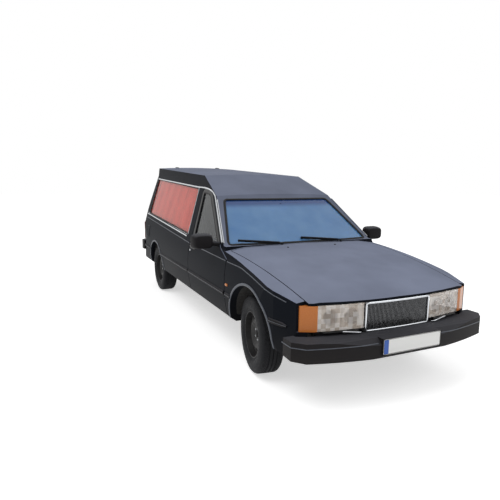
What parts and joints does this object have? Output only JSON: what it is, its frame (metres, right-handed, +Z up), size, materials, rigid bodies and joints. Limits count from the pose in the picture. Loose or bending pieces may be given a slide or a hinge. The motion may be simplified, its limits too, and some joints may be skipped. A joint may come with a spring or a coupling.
{
  "type": "hearse",
  "caption": "Black hearse on a long-wheelbase estate car, with a raised roof, a load deck, opening doors, bonnet and tailgate, and steered front wheels.",
  "frame": {"origin": "on the road under the middle of the car's length and width", "axes": "+X forward, +Y to the car's left, +Z up"},
  "size_m": [5.1, 2.165, 1.7346],
  "materials": {
    "paint": "satin black",
    "bumper_plastic": "grained dark grey",
    "bright_trim": "polished",
    "lamp_body": "vacuum-coated reflector",
    "lamp_glass": "ribbed clear",
    "amber_lens": "ribbed amber",
    "red_lens": "ribbed red",
    "screen_glass": "tinted",
    "film_glass": "salmon film",
    "upholstery": "woven grey",
    "cabin_plastic": "grained black",
    "deck_wood": "varnished",
    "underbody": "underseal",
    "chassis_steel": "bare dark",
    "cast_block": "cast",
    "exhaust_steel": "dull",
    "wiper_black": "satin",
    "tyre_rubber": "moulded",
    "rim_paint": "dull dark grey"
  },
  "bodies": {
    "root": {"floor_pan": "underbody", "bulkhead": "underbody", "front_frame": "underbody", "front_panel": "bumper_plastic", "front_wing_left": "paint", "front_wing_right": "paint", "scuttle": "paint", "side_left": "paint", "side_right": "paint", "roof": "paint", "rear_panel": "paint", "grille": "bright_trim", "headlamps": "lamp_body", "lamp_lenses": "lamp_glass", "corner_lamps": "amber_lens", "front_bumper": "bumper_plastic", "rear_bumper": "bumper_plastic", "windscreen": "screen_glass", "side_glass": "film_glass", "front_seats": "upholstery", "dashboard": "cabin_plastic", "steering_wheel": "cabin_plastic", "partition": "cabin_plastic", "load_deck": "deck_wood", "engine": "cast_block", "driveline": "chassis_steel", "front_suspension": "chassis_steel", "rear_axle": "chassis_steel", "fuel_tank": "chassis_steel", "exhaust": "exhaust_steel", "tail_lamps": "red_lens", "wipers": "wiper_black"},
    "steering_left": {"knuckle_left": "chassis_steel"},
    "front_wheel_left": {"tyre_front_left": "tyre_rubber", "rim_front_left": "rim_paint"},
    "rear_wheel_left": {"tyre_rear_left": "tyre_rubber", "rim_rear_left": "rim_paint"},
    "side_door_left": {"door_left": "paint", "door_glass_left": "screen_glass", "mirror_left": "bumper_plastic"},
    "steering_right": {"knuckle_right": "chassis_steel"},
    "front_wheel_right": {"tyre_front_right": "tyre_rubber", "rim_front_right": "rim_paint"},
    "rear_wheel_right": {"tyre_rear_right": "tyre_rubber", "rim_rear_right": "rim_paint"},
    "side_door_right": {"door_right": "paint", "door_glass_right": "screen_glass", "mirror_right": "bumper_plastic"},
    "bonnet_lid": {"bonnet": "paint"},
    "rear_door": {"tailgate": "paint", "tailgate_glass": "film_glass"}
  },
  "joints": [
    {"name": "steer_left", "type": "hinge", "parent": "root", "child": "steering_left", "pos_m": [1.635, 0.665, 0.2], "axis": [0, -0.1568, 0.9876], "range_deg": [-27, 43]},
    {"name": "roll_front_left", "type": "hinge", "parent": "steering_left", "child": "front_wheel_left", "pos_m": [1.64717, 0.73416, 0.31687], "axis": [0.1375, 0.9905, -0.0015], "continuous": true},
    {"name": "roll_rear_left", "type": "hinge", "parent": "root", "child": "rear_wheel_left", "pos_m": [-1.485, 0.735, 0.317], "axis": [0, 1, 0], "continuous": true},
    {"name": "open_door_left", "type": "hinge", "parent": "root", "child": "side_door_left", "pos_m": [1.145, 0.864, 0.6], "axis": [0, 0, -1], "range_deg": [0, 65]},
    {"name": "steer_right", "type": "hinge", "parent": "root", "child": "steering_right", "pos_m": [1.635, -0.665, 0.2], "axis": [0, 0.1568, 0.9876], "range_deg": [-27, 43]},
    {"name": "roll_front_right", "type": "hinge", "parent": "steering_right", "child": "front_wheel_right", "pos_m": [1.62283, -0.73416, 0.31687], "axis": [0.1375, 0.9905, 0.0015], "continuous": true},
    {"name": "roll_rear_right", "type": "hinge", "parent": "root", "child": "rear_wheel_right", "pos_m": [-1.485, -0.735, 0.317], "axis": [0, 1, 0], "continuous": true},
    {"name": "open_door_right", "type": "hinge", "parent": "root", "child": "side_door_right", "pos_m": [1.145, -0.864, 0.6], "axis": [0, 0, 1], "range_deg": [0, 65]},
    {"name": "open_bonnet", "type": "hinge", "parent": "root", "child": "bonnet_lid", "pos_m": [1.086, 0, 0.957], "axis": [0, -1, 0], "range_deg": [0, 60]},
    {"name": "open_tailgate", "type": "hinge", "parent": "root", "child": "rear_door", "pos_m": [-2.25, 0, 1.728], "axis": [0, 1, 0], "range_deg": [0, 85]}
  ],
  "couplings": [
    {"joint": "steer_left", "follows": "steer_right", "ratio": 1}
  ]
}
